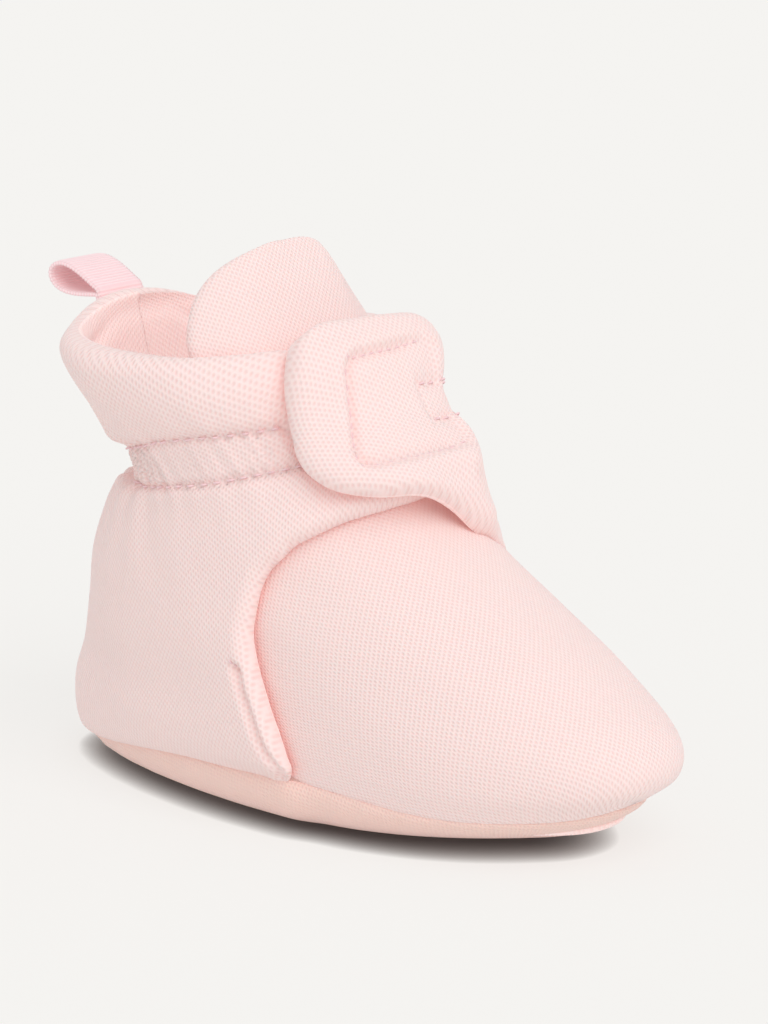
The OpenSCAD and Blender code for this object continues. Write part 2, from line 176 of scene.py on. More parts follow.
def beside(s, t, line):
    """Millimetres along a ring from the angle line to t, true near the line."""
    return np.sign(t - line) * np.linalg.norm(base(s, t) - base(s, line), axis=-1)


# The lean of the foot's front in degrees, and the plan of its sides, which are straight from SIDE_BACK to
# SIDE_FRONT and round beyond them
FRONT_LEAN = 51.5
SIDE_BACK, SIDE_FRONT, SIDE_RADIUS = -28, -4, 21
ROW_RISE = 15


def front_cloth(s, t):
    """Places on the cloth over the front of the foot, tongue and strap, with rows level across it."""
    points = base(s, t)
    c, n = math.cos(math.radians(FRONT_LEAN)), math.sin(math.radians(FRONT_LEAN))
    down, out = np.array([c, 0, -n]), np.array([n, 0, c])
    ridge_s = np.linspace(1.25, 0, 200)
    ridge = base(ridge_s, np.zeros_like(ridge_s))
    crest = np.interp(points @ down, ridge @ down, ridge @ out)
    drop = np.maximum(crest - points @ out, 1e-3)
    side = np.abs(points[..., 1])
    across = np.sign(points[..., 1]) * (side ** 2 + drop ** 2) / drop * np.arctan2(drop, side)
    return np.stack([across, -(points @ down)], -1)


def side_cloth(s, t, side):
    """Places on the cloth over a side (-1 near, 1 far) and half of the heel, with rows that rise to the toe."""
    points = base(s, t)
    out = side * points[..., 1]
    x = points[..., 0]
    heel, toe = np.minimum(x - SIDE_BACK, 0), np.maximum(x - SIDE_FRONT, 0)
    run = np.clip(x, SIDE_BACK, SIDE_FRONT) + SIDE_RADIUS * (np.arctan2(heel, out) + np.arctan2(toe, out))
    c, n = math.cos(math.radians(ROW_RISE)), math.sin(math.radians(ROW_RISE))
    return np.stack([run * c + points[..., 2] * n, points[..., 2] * c - run * n], -1)


# ------------------------------------------------------------
# Materials

LINEAR = {
    "knit": (0.97, 0.785, 0.765),
    "sole_knit": (0.95, 0.69, 0.62),
    "hole": (0.87, 0.57, 0.54),
    # The crease colour is painted shade and painted glow, put into creases
    "crease_painted_shade_and_glow": (0.94, 0.56, 0.52),
    "lining": (0.97, 0.80, 0.78),
    "thread": (0.95, 0.70, 0.73),
    "ribbon": (0.97, 0.79, 0.81),
    "ribbon_rib": (0.93, 0.60, 0.64),
    "hooks": (0.92, 0.80, 0.77),
    "silicone": (0.93, 0.74, 0.69),
    "floor": (0.25, 0.248, 0.244),
    "floor_glow": (0.665, 0.657, 0.64),
    "backdrop": (0.913, 0.897, 0.88),
}


class Shader:
    """A small helper that builds a procedural material, node by node."""

    def __init__(self, name):
        self.material = bpy.data.materials.new(name)
        self.material.use_nodes = True
        self.tree = self.material.node_tree
        self.tree.nodes.clear()
        self.output = self.add("OutputMaterial")
        self.surface = self.add("BsdfPrincipled")
        self.link(self.surface.outputs[0], self.output.inputs["Surface"])

    def add(self, kind, **values):
        node = self.tree.nodes.new("ShaderNode" + kind)
        for key, value in values.items():
            setattr(node, key, value)
        return node

    def link(self, source, target):
        self.tree.links.new(source, target)

    def feed(self, target, value):
        if isinstance(value, (int, float)):
            target.default_value = value
        elif isinstance(value, tuple):
            target.default_value = (*value, 1) if len(value) == 3 and target.type == "RGBA" else value
        else:
            self.link(value, target)

    def math(self, operation, a, b=0.0, c=0.0):
        node = self.add("Math", operation=operation)
        for target, value in zip(node.inputs, (a, b, c)):
            self.feed(target, value)
        return node.outputs[0]

    def mix(self, factor, a, b):
        node = self.add("Mix", data_type="RGBA")
        self.feed(node.inputs["Factor"], factor)
        self.feed(node.inputs["A"], a)
        self.feed(node.inputs["B"], b)
        return node.outputs["Result"]

    def noise(self, scale, detail=2.0):
        node = self.add("TexNoise")
        node.inputs["Scale"].default_value = scale
        node.inputs["Detail"].default_value = detail
        self.link(self.add("TexCoord").outputs["Object"], node.inputs["Vector"])
        return node.outputs[0]

    def cloth_place(self):
        """The two coordinates on the cloth, in millimetres."""
        split = self.add("SeparateXYZ")
        self.link(self.add("UVMap", uv_map="cloth").outputs[0], split.inputs[0])
        return split.outputs[0], split.outputs[1]

    def wave(self, coordinate, pitch):
        return self.math("COSINE", self.math("MULTIPLY", coordinate, 2 * math.pi / pitch))

    def crease_shade_mask(self, reach, power):
        """0 in the open and up to 1 deep in a crease, from ambient occlusion: the mask for painted shade and
        painted glow in creases.
        """
        occlusion = self.add("AmbientOcclusion", samples=8)
        occlusion.inputs["Distance"].default_value = reach
        shade = self.math("SUBTRACT", 1.0, occlusion.outputs["AO"])
        return self.math("POWER", shade, power)

    def bump(self, height, distance, strength=1.0):
        node = self.add("Bump")
        node.inputs["Distance"].default_value = distance
        node.inputs["Strength"].default_value = strength
        self.link(height, node.inputs["Height"])
        self.link(node.outputs[0], self.surface.inputs["Normal"])

    def glow(self, colour, strength):
        self.feed(self.surface.inputs["Emission Color"], colour)
        self.feed(self.surface.inputs["Emission Strength"], strength)

    def finish(self, colour, roughness, sheen=0.0, subsurface=0.0, specular=0.2):
        self.feed(self.surface.inputs["Base Color"], colour)
        self.feed(self.surface.inputs["Roughness"], roughness)
        self.feed(self.surface.inputs["Specular IOR Level"], specular)
        self.feed(self.surface.inputs["Sheen Weight"], sheen)
        self.feed(self.surface.inputs["Sheen Roughness"], 0.4)
        self.feed(self.surface.inputs["Subsurface Weight"], subsurface)
        self.feed(self.surface.inputs["Subsurface Radius"], (1.0, 0.5, 0.4))
        self.feed(self.surface.inputs["Subsurface Scale"], 1.5 * MM)
        return self.material


KNIT_PITCH = 0.93
RIB_PITCH, WEFT_PITCH = 0.62, 0.22


def knit_material(name, colour, hole_strength, painted_glow=0.0, crease_shade_strength=0.5):
    """Double knit: rows of pin holes, with every other row shifted by half a pitch."""
    shader = Shader(name)
    u, v = shader.cloth_place()
    wander = shader.noise(700, 1.0)
    u = shader.math("MULTIPLY_ADD", wander, 0.16, u)
    wales, rows = shader.wave(u, KNIT_PITCH), shader.wave(v, KNIT_PITCH)
    hole = shader.math("MULTIPLY", shader.math("MULTIPLY", wales, shader.math("ADD", wales, rows)), 0.5)
    hole = shader.math("MAXIMUM", hole, 0.0)
    patches = shader.math("MULTIPLY", shader.noise(45, 3.0), 0.35)
    body = shader.mix(patches, colour, tuple(c * 0.95 for c in colour))
    with_holes = shader.mix(shader.math("MULTIPLY", hole, hole_strength), body, LINEAR["hole"])
    # Painted shade: creases found by ambient occlusion are tinted towards the darker crease colour
    crease_shade_mask = shader.crease_shade_mask(6 * MM, 1.3)
    with_painted_shade = shader.mix(shader.math("MULTIPLY", crease_shade_mask, crease_shade_strength), with_holes, LINEAR["crease_painted_shade_and_glow"])
    fuzz = shader.math("MULTIPLY", shader.noise(5200, 2.0), 0.35)
    shader.bump(shader.math("SUBTRACT", fuzz, hole), 0.14 * MM, 0.7)
    # Painted glow: the creases glow in the painted crease colour, and the whole cloth glows evenly by the
    # amount given for it
    shader.glow(LINEAR["crease_painted_shade_and_glow"], shader.math("MULTIPLY_ADD", crease_shade_mask, 0.06, painted_glow))
    return shader.finish(with_painted_shade, 0.95, sheen=0.25, subsurface=0.12)


def thread_material():
    shader = Shader("thread")
    twist = shader.noise(2600, 1.0)
    colour = shader.mix(twist, LINEAR["thread"], tuple(c * 0.85 for c in LINEAR["thread"]))
    shader.bump(twist, 0.05 * MM)
    return shader.finish(colour, 0.7, sheen=0.2)


def ribbon_material():
    shader = Shader("ribbon")
    u, v = shader.cloth_place()
    weft = shader.math("MULTIPLY", shader.wave(v, WEFT_PITCH), 0.5)
    ribs = shader.wave(u, RIB_PITCH)
    shade = shader.math("MULTIPLY_ADD", ribs, 0.25, 0.3)
    colour = shader.mix(shade, LINEAR["ribbon"], LINEAR["ribbon_rib"])
    # Painted shade: creases found by ambient occlusion are tinted towards the crease colour
    inner = shader.mix(shader.math("MULTIPLY", shader.crease_shade_mask(5 * MM, 1.0), 0.4), colour, LINEAR["crease_painted_shade_and_glow"])
    # Painted glow: the whole ribbon glows faintly in its rib colour
    shader.glow(LINEAR["ribbon_rib"], 0.08)
    shader.bump(weft, 0.04 * MM)
    return shader.finish(inner, 0.6, sheen=0.3)


def plain_material(name, colour, roughness, grain, depth, sheen=0.0):
    shader = Shader(name)
    texture = shader.noise(grain, 3.0)
    tone = shader.mix(texture, colour, tuple(c * 0.9 for c in colour))
    shader.bump(texture, depth)
    return shader.finish(tone, roughness, sheen=sheen)


KNIT = knit_material("knit", LINEAR["knit"], 0.55)
SOLE_KNIT = knit_material("sole_knit", LINEAR["sole_knit"], 0.5, crease_shade_strength=0.35)
# The lining glows evenly, a painted light that brightens the collar's inside, with painted shade in its creases
LINING = knit_material("lining", LINEAR["lining"], 0.35, painted_glow=0.10, crease_shade_strength=0.3)
THREAD = thread_material()
RIBBON = ribbon_material()
HOOKS = plain_material("hooks", LINEAR["hooks"], 0.45, 900, 0.05 * MM)
LOOPS = plain_material("loops", LINEAR["knit"], 0.95, 2500, 0.3 * MM, sheen=0.5)
SILICONE = plain_material("silicone", LINEAR["silicone"], 0.4, 400, 0.02 * MM)


# ------------------------------------------------------------
# Meshes

def make_piece(name, points, faces, uv, materials, face_materials=None, weld=True, other_cloth=None):
    """A smooth closed mesh from points in millimetres. uv holds each point's place on the cloth, and
    other_cloth a second set of places with the faces that use it."""
    mesh = bpy.data.meshes.new(name)
    mesh.from_pydata((np.asarray(points) * MM).tolist(), [], faces)
    layer = mesh.uv_layers.new(name="cloth")
    corners = np.zeros(len(mesh.loops), int)
    mesh.loops.foreach_get("vertex_index", corners)
    places = np.asarray(uv, float)[corners]
    if other_cloth is not None:
        other_uv, chosen = other_cloth
        swapped = np.repeat(chosen, [len(face) for face in faces])
        places[swapped] = other_uv[corners[swapped]]
    layer.data.foreach_set("uv", places.ravel())
    for material in materials:
        mesh.materials.append(material)
    if face_materials is not None:
        mesh.polygons.foreach_set("material_index", face_materials)
    if weld:
        work = bmesh.new()
        work.from_mesh(mesh)
        bmesh.ops.remove_doubles(work, verts=work.verts, dist=1e-7)
        work.to_mesh(mesh)
        work.free()
    mesh.polygons.foreach_set("use_smooth", [True] * len(mesh.polygons))
    mesh.update()
    piece = bpy.data.objects.new(name, mesh)
    bpy.context.scene.collection.objects.link(piece)
    return piece


def grid_faces(rows, columns, start=0, flip=False):
    """Quads over a rows by columns grid of points, seen from outside with t growing to the right."""
    i, j = np.meshgrid(np.arange(rows - 1), np.arange(columns - 1), indexing="ij")
    a = start + i * columns + j
    quads = np.stack([a, a + 1, a + columns + 1, a + columns], -1).reshape(-1, 4)
    return quads[:, ::-1] if flip else quads


def rim_faces(rows, columns, count):
    """Walls between an outer grid and the inner one, count points later."""
    loop = np.concatenate([
        np.arange(columns - 1),
        np.arange(rows - 1) * columns + columns - 1,
        (rows - 1) * columns + np.arange(columns - 1, 0, -1),
        np.arange(rows - 1, 0, -1) * columns,
    ])
    after = np.roll(loop, -1)
    return np.stack([loop + count, after + count, after, loop], -1)


def dome_faces(rows, sectors):
    """Quads over a stack of closed rings, and fans to the two hub points that follow them."""
    i, j = np.meshgrid(np.arange(rows - 1), np.arange(sectors), indexing="ij")
    a = (i * sectors + j).ravel()
    b = (i * sectors + (j + 1) % sectors).ravel()
    faces = np.stack([a, b, b + sectors, a + sectors], -1).tolist()
    last = (rows - 1) * sectors
    faces += [(rows * sectors, (k + 1) % sectors, k) for k in range(sectors)]
    faces += [(rows * sectors + 1, last + k, last + (k + 1) % sectors) for k in range(sectors)]
    return faces


class Bars:
    """Small closed bars with a round section, gathered for one piece."""

    def __init__(self, sides):
        self.sides = sides
        self.points, self.faces = [], []

    def add(self, spine, side, other, radii, flip=False):
        """One bar along the spine's points, with a radius at each. side and other span its sections."""
        first, sides = len(self.points), self.sides
        for k, radius in enumerate(radii):
            for m in range(sides):
                turn = 2 * math.pi * m / sides
                self.points.append(spine[k] + (side[k] * math.cos(turn) + other[k] * math.sin(turn)) * radius)
        faces = []
        for k in range(len(radii) - 1):
            for m in range(sides):
                a, b = first + k * sides + m, first + k * sides + (m + 1) % sides
                faces.append((a, b, b + sides, a + sides))
        last = first + (len(radii) - 1) * sides
        faces += [tuple(first + m for m in range(sides))[::-1], tuple(last + m for m in range(sides))]
        self.faces += [face[::-1] for face in faces] if flip else faces

    def piece(self, name, material, slot):
        no_cloth = np.zeros((len(self.points), 2))
        piece = make_piece(name, self.points, self.faces, no_cloth, [material], weld=False)
        return piece


def crowded(count, strength=0.7):
    """count values from 0 to 1, closer together at both ends."""
    t = np.linspace(0, 1, count)
    return t - strength * np.sin(2 * math.pi * t) / (2 * math.pi)


class Sheet:
    """A padded sheet on the foot's surface: a grid of (s, t) with an inner and an outer offset."""

    def __init__(self, s, t):
        self.s, self.t = s, t
        points = base(s, t)
        across, up = along(points, 1), along(points, 0)
        self.sides = {
            "left": across,
            "right": across[:, -1:] - across,
            "bottom": up,
            "top": up[-1:, :] - up,
        }

    def edge_distance(self, *names):
        return np.minimum.reduce([self.sides[n] for n in names])

    def build(self, name, low, high, turned, seams, materials, cloth, roll=2.2, hug=0.0, sink=0.0,
              other_cloth=None):
        """low and high are offsets. Edges that are turned in are rounded shut over roll millimetres, hug is how
        far they close towards the inner face, and seams are pinched but stay open walls. cloth holds each
        point's place on the cloth, other_cloth a second set of places with the points that use it, and sink
        lowers the points."""
        centre, half = (low + high) / 2, (high - low) / 2
        closing = np.ones_like(half)
        for edge in turned:
            d = np.clip(self.sides[edge] / roll, 0, 1)
            closing = closing * (1 - (1 - d) ** 2.2) ** (1 / 2.2)
        for edge, depth, width in seams:
            d = np.clip(self.sides[edge] / width, 0, 1)
            closing = closing * (1 - depth * (1 - (1 - (1 - d) ** 2) ** 0.5))
        centre = centre - hug * half * (1 - closing)
        half = half * closing
        outer = skin(self.s, self.t, centre + half)
        inner = skin(self.s, self.t, centre - half)
        rows, columns = self.s.shape
        count = rows * columns
        uv = cloth.reshape(-1, 2)
        faces = np.concatenate([
            grid_faces(rows, columns),
            grid_faces(rows, columns, count, flip=True),
            rim_faces(rows, columns, count),
        ])
        kinds = np.zeros(len(faces), int)
        cells = (rows - 1) * (columns - 1)
        kinds[cells:2 * cells] = len(materials) - 1
        for face in (outer, inner):
            face[..., 2] -= sink
        points = np.concatenate([outer.reshape(-1, 3), inner.reshape(-1, 3)])
        if other_cloth is not None:
            other_uv, swapped = (part.reshape(count, -1) for part in other_cloth)
            chosen = np.concatenate([swapped, swapped])[faces].any(axis=(1, 2))
            other_cloth = np.concatenate([other_uv, other_uv]), chosen
        return make_piece(name, points, faces.tolist(), np.concatenate([uv, uv]), materials, kinds,
                          other_cloth=other_cloth)


def trace(points):
    """A function of 0..1 that runs along the (s, t) points at an even pace in millimetres."""
    rough = np.array(points, float)
    keyed = np.column_stack([np.arange(len(rough)), rough])
    fine = curve(keyed, np.linspace(0, len(rough) - 1, 600))
    length = along(fine * np.array([RING, DEGREE]), 0)
    length /= length[-1]
    return lambda u: np.stack([np.interp(u, length, fine[:, k]) for k in (0, 1)], -1)


def patch(left, right, top, rows, columns):
    """The (s, t) grid between two side curves, whose top edge follows s = top(t)."""
    u, v = crowded(rows)[:, None], crowded(columns)[None, :]
    a, b = left(u[:, 0]), right(u[:, 0])
    s = (1 - v) * a[:, :1] + v * b[:, :1]
    t = (1 - v) * a[:, 1:] + v * b[:, 1:]
    rise = top(t[-1]) - s[-1]
    return s + u * rise[None, :], t


# ------------------------------------------------------------
# Shapes that the wrap's pieces share

# Ring heights of the casing's two stitch rows over the angle, counted from the toe: [angle, s]
ROW_LOW = [
    [0, 0.82], [45, 0.803], [66, 0.795], [87, 0.782], [104, 0.768], [122, 0.744], [150, 0.724], [181, 0.716],
]
ROW_HIGH = [[0, 0.895], [45, 0.887], [75, 0.889], [90, 0.885], [108, 0.869], [130, 0.853], [181, 0.842]]
STITCH_DEGREES = 5.5
# The rim's ring height, with its peak at the centre back and its dip on the far side
RIM, HEEL_PEAK, FAR_DIP = 1.015, 0.032, 0.055
# How far the elastic draws the wrap in, its hem hangs down, and the strap presses in the vamp
ELASTIC_PULL, HEM_DROP, STRAP_PRESS = 1.8, 1.9, 1.6


def casing_row(rows, t):
    return curve(rows, np.abs(t))[..., 0]


def rim_height(t):
    """Ring height of the collar's rim."""
    return RIM + HEEL_PEAK * bump(180 - np.abs(t), 0, 24) - FAR_DIP * bump(t, 118, 26)


def over_casing(s, t):
    """Millimetres above the casing's lower row, and below its upper one."""
    return (s - casing_row(ROW_LOW, t)) * RING, (casing_row(ROW_HIGH, t) - s) * RING


def gathers(s, t):
    """Upright folds from the elastic: narrow ones in the casing, wider ones that fade above and below."""
    around = t * DEGREE
    wide = (np.sin(around * 2 * math.pi / 4.3 + 0.8 * np.sin(around * 0.31))
            + 0.6 * np.sin(around * 2 * math.pi / 6.9 + 1.9))
    narrow = np.sin(around * 2 * math.pi / 2.5 + 1.1 * np.sin(around * 0.53))
    above_low, below_high = over_casing(s, t)
    fade = np.exp(-np.clip(-above_low, 0, None) / 7) * np.exp(-np.clip(-below_high, 0, None) / 4)
    band = smooth((above_low + 1) / 2) * smooth((below_high + 1) / 2)
    return wide * fade * (1 - 0.5 * band) + 1.1 * narrow * band


def waist(s, t):
    """How far the elastic draws the wrap in: round the heel, and at the strap's far side."""
    share = smooth((np.abs(t) - 95) / 55) + 0.6 * bump(t, 44, 16)
    above_low, below_high = over_casing(s, t)
    return ELASTIC_PULL * share * smooth((above_low + 4) / 4) * smooth((below_high + 3) / 3)


def hem_drop(s, t):
    """How far the wrap's hem hangs over the sole's seam round the heel."""
    return HEM_DROP * (1 - smooth(s / 0.1)) * smooth((np.abs(t) - 95) / 45)


def casing(s, t, amount):
    """How far the casing's two stitch rows and the band between them sink in, where amount is 1."""
    dimples = 0.6 + 0.4 * np.cos(t * 2 * math.pi / STITCH_DEGREES)
    above_low, below_high = over_casing(s, t)
    rows = bump(above_low, 0, 0.9) + bump(below_high, 0, 0.9)
    band = smooth((above_low + 2.4) / 3) * smooth((below_high + 2.4) / 3)
    return amount * (0.8 * rows * dimples + 0.6 * band)


def unevenness(s, t, seed, size):
    """The slow ups and downs of hand-sewn padding."""
    random = np.random.default_rng(seed)
    total = np.zeros_like(s)
    for _ in range(7):
        angle, length, phase = random.uniform(0, math.pi), random.uniform(11, 26), random.uniform(0, 6.3)
        run = t * DEGREE * math.cos(angle) + s * RING * math.sin(angle)
        total += np.sin(run * 2 * math.pi / length + phase)
    return size * total / 7 ** 0.5


def wrap_body(s, t):
    """Thickness of the wrap without its seams: thin at the sole, full over the side, plump at the collar."""
    plump = 1.3 - 1.1 * smooth((np.abs(t) - 70) / 60)
    return WRAP_THICK * (0.72 + 0.28 * smooth(s / 0.14)) + plump * bump(s, 0.955, 0.05)


def collar_slim(s, t):
    """How much closer the collar's outside lies at the heel."""
    return 1.2 * smooth((np.abs(t) - 100) / 50) * smooth((s - 0.88) / 0.08)


def collar_lip(s, t):
    """The groove inside the rim that leaves a rolled lip above it."""
    side = smooth((np.abs(t) - 90) / 20) * (1 - smooth((np.abs(t) - 150) / 20))
    return 0.9 * bump((rim_height(t) - s) * RING, 3.6, 0.9) * side


def collar_roll(s):
    """How far the rim swells inward."""
    return 1.9 * smooth((s - 0.93) / 0.06)


def layers(part):
    return [f"{part}_{layer}" for layer in ("shell", "padding", "lining")]


def bend_at(piece):
    """Bakes a piece's placement into its mesh."""
    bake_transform(piece)


def bend_near(piece):
    bend_at(piece)


def bend_far(piece):
    bend_at(piece)


# ------------------------------------------------------------
# Stitches

def stitches(name, places, ups, count, length, radius):
    """Short threads, count of them, laid evenly along a line of points, with their ends tucked in."""
    run = along(places, 0)
    centres = np.interp((np.arange(count) + 0.5) / count, np.linspace(0, 1, len(run)), run)
    bars = Bars(6)
    share = np.linspace(-1, 1, 7)
    shape = np.sqrt(np.clip(1 - share ** 4, 0.02, 1))
    for centre in centres:
        where = centre + share * length / 2
        spine = resampled(places, run, where)
        up = unit(resampled(ups, run, where))
        side = unit(np.cross(up, unit(np.gradient(spine, axis=0))))
        sink = 1.6 * radius * share ** 2
        bars.add(spine - up * sink[:, None], side, up, radius * shape)
    return bars.piece(name, THREAD, "thread")


def join(name, *pieces):
    """One object from several, that keeps the first one's custom data."""
    work = bmesh.new()
    for piece in pieces:
        work.from_mesh(piece.data)
    mesh = pieces[0].data
    work.to_mesh(mesh)
    work.free()
    mesh.polygons.foreach_set("use_smooth", [True] * len(mesh.polygons))
    for piece in pieces[1:]:
        bpy.data.objects.remove(piece)
    pieces[0].name = name
    return pieces[0]


# ------------------------------------------------------------
# Vamp and tongue, one cloth

def tongue_angle(u):
    """Half angle of the tongue, from its root (0) to its round top (1)."""
    return TONGUE_HALF * (1 - np.clip(u, 0, 1) ** 6) ** 0.45


def press(s, t):
    """How far the strap's far side pulls itself into the soft vamp."""
    under = smooth((s - strap_low(t) + 0.012) / 0.03)
    return STRAP_PRESS * smooth((t - 20) / 18) * (1 - smooth((t - 84) / 8)) * under


def make_vamp():
    rows, columns = 170, 150
    s = TONGUE_TOP * crowded(rows, 0.6)[:, None]
    v = crowded(columns)[None, :] * 2 - 1
    tongue = np.clip((s - TONGUE_BASE) / (TONGUE_TOP - TONGUE_BASE), 0, 1)
    vamp_half = VAMP_HALF - (VAMP_HALF - TONGUE_HALF) * smooth((s / TONGUE_BASE - 0.5) * 2)
    half = np.where(s < TONGUE_BASE, vamp_half, tongue_angle(0.997 * tongue))
    t = v * half
    s = s + 0 * t
    sheet = Sheet(s, t)
    front = np.cos(np.radians(np.clip(t, -90, 90)))
    high = 0.4 * smooth((TONGUE_BASE - 0.05 - s) / 0.3) * smooth(s / 0.2) * front + unevenness(s, t, 3, 0.1)
    high = high + 0.8 * smooth((s - 0.86) / 0.1) * smooth(sheet.edge_distance("left", "right", "top") / 9)
    high = high - press(s, t) - 0.35 * smooth((t - 15) / 10) * smooth((s - strap_low(t)) / 0.02)
    seam = np.clip(s * RING / 2, 0, 1)
    high = high - 0.35 * (1 - (1 - (1 - seam) ** 2) ** 0.5)
    low = -VAMP_THICK + unevenness(s, t, 4, 0.12)
    dome = 0.9 * (1 - v ** 2) * smooth((tongue - 0.7) / 0.3)
    piece = sheet.build("vamp_and_tongue", low, high, ("top", "left", "right"), (), [KNIT, LINING],
                        front_cloth(s, t), sink=-dome)
    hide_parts(*layers("vamp"), *layers("tongue"))
    front, back = curve(FRONT, TONGUE_BASE), curve(BACK, TONGUE_BASE)
    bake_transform(piece)


# ------------------------------------------------------------
# The wrap's near half: heel side and the flap under the strap

# The near wrap's front edge: (s, angle), and its top edge under the strap: [angle, drop]
NEAR_FRONT = [
    (0, -84.4), (0.03, -84.4), (0.07, -85.2), (0.12, -87.1), (0.225, -90), (0.35, -89.8), (0.425, -88.5),
    (0.485, -85.8), (0.54, -82.2), (0.577, -78.8), (0.611, -74.3), (0.644, -67.8), (0.67, -61.3),
    (0.706, -43.3), (0.723, -22.8), (0.73, -6), (0.735, 7), (0.75, 17), (0.785, 21.5), (0.85, 22),
]
FLAP_TOP = [[-40, 0], [-26, 0], [-8, -0.02], [8, -0.065], [22, -0.165], [30, -0.2]]
# The groove beside the wrap's lower front edge: [s, angle]
TACK_FOLD = [
    [0, -84.9], [0.07, -86.5], [0.128, -89.3], [0.208, -91.7], [0.285, -92.6], [0.35, -92.3], [0.5, -95],
]
TACK_TOP = 0.342


def near_faces(s, t):
    """Offsets of the near wrap's two faces."""
    heel = smooth((-60 - t) / 60)
    fold = gathers(s, t) * (0.1 + 0.4 * smooth((-88 - t) / 40))
    low = FLAP_GAP + 0.6 * fold - collar_roll(s) * smooth((-48 - t) / 20) - waist(s, t) + collar_lip(s, t)
    high = FLAP_GAP + wrap_body(s, t) + 0.5 * heel * bump(s, 0.3, 0.25) + fold - waist(s, t)
    high = high - casing(s, t, smooth((-28 - t) / 20)) - collar_slim(s, t)
    high = high - 1.5 * (1 - smooth(s / 0.1)) * smooth((t + 100) / 12)
    from_fold = beside(s, t, curve(TACK_FOLD, s)[..., 0])
    length = smooth(s / 0.03) * smooth((TACK_TOP + 0.012 - s) / 0.02)
    high = high - 1.1 * bump(from_fold, 0, 0.9) * length
    high = high + 0.3 * bump(from_fold, 2.3, 1.3) * length
    notch = np.hypot(from_fold, (s - TACK_TOP) * RING)
    high = high - 0.7 * bump(notch, 0, 1.0)
    soft_fold = (t + 113 - (0.70 - s) * 20) * DEGREE
    high = high - 0.55 * bump(soft_fold, 0, 2.2) * smooth((0.76 - s) / 0.08) * smooth((s - 0.42) / 0.2)
    return low, high + unevenness(s, t, 11, 0.14)


def make_near_wrap():
    back = lambda u: np.stack([u * rim_height(180), np.full_like(u, -180.0)], -1)
    top = lambda t: rim_height(t) + curve(FLAP_TOP, t)[..., 0]
    sheet = Sheet(*patch(back, trace(NEAR_FRONT), top, 160, 200))
    low, high = near_faces(sheet.s, sheet.t)
    piece = sheet.build("near_wrap", low, high, ("right", "top"), (("left", 0.15, 1.2), ("bottom", 0.8, 4.0)),
                        [KNIT, LINING], side_cloth(sheet.s, sheet.t, -1), roll=2.6, hug=0.6,
                        sink=hem_drop(sheet.s, sheet.t))
    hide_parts(*layers("near_quarter"), *layers("flap"), "flap_elastic", "ankle_elastic")
    bend_near(piece)


# ------------------------------------------------------------
# The wrap's far half: heel side and the strap

# The strap's lower and top edges: [angle, s], and the far wrap's whole front edge: (s, angle)
STRAP_LOW = [
    [-50, 0.75], [-43, 0.745], [-37, 0.728], [-29, 0.717], [-20, 0.713], [-10, 0.708], [-2, 0.70], [5, 0.686],
    [11.5, 0.672], [18, 0.66], [26, 0.647], [37, 0.625], [50, 0.585], [64, 0.528], [75, 0.46], [81, 0.40],
    [85, 0.33],
]
FAR_FRONT = [(0, 82), (0.06, 83), (0.12, 84), (0.24, 85.5)] + [(s, t) for t, s in STRAP_LOW[:1:-1]] + [
    (0.745, -43), (0.775, -46.5), (0.81, -46.5), (0.85, -44.5), (0.89, -42), (0.94, -37.5), (0.975, -33),
    (0.997, -29.5), (1.008, -26),
]
STRAP_TOP = [
    [-30, 1.008], [-26, 1.010], [-16.5, 1.026], [-5, 1.024], [12.5, 1.017], [32.5, 1.005], [50, 1.0],
    [76, 1.01],
]
# The box on the strap's free end: ring heights, and the angle of its side towards the foot
BOX_LOW, BOX_HIGH, BOX_RIGHT = 0.762, 0.96, 15
# How high the strap's free end lies over the surface
TAB_LIFT = 5.4
# The angle at which the strap's cloth meets the side's
STRAP_CLOTH_END = 76


def strap_low(t):
    return curve(STRAP_LOW, np.clip(t, -50, 85))[..., 0]


def strap_top(t):
    on_strap = curve(STRAP_TOP, np.clip(t, -30, 76))[..., 0]
    share = smooth((t - 60) / 16)
    return on_strap * (1 - share) + rim_height(t) * share


def strap_lift(s, t):
    """How high the strap's inner face lies: over the flap at its free end, on the vamp at its lower edge."""
    high = FLAP_GAP + (TAB_LIFT - FLAP_GAP) * (1 - smooth((t - 13) / 42))
    on_side = smooth((t - 70) / 14)
    low = TAB_LIFT * (1 - smooth((t + 20) / 36)) * (1 - on_side) + FLAP_GAP * on_side
    reach = 5 + 6 * smooth((t - 8) / 18)
    share = smooth((s - strap_low(t)) * RING / reach)
    return low + (high - low) * np.where(t > 84, 1, share)


def box_left(s):
    """The angle of the box's slanting side at the strap's end."""
    return -30 + (s - 0.78) * 70


def box_depth(s, t):
    """Millimetres inside the stitched box on the strap's free end, and negative outside it."""
    x = np.minimum((t - box_left(s)) * DEGREE, (BOX_RIGHT - t) * DEGREE)
    y = np.minimum((s - BOX_LOW) * RING, (BOX_HIGH - s) * RING)
    corner = 2.0
    dx, dy = np.maximum(corner - x, 0), np.maximum(corner - y, 0)
    return np.where((dx > 0) & (dy > 0), corner - np.hypot(dx, dy), np.minimum(x, y))


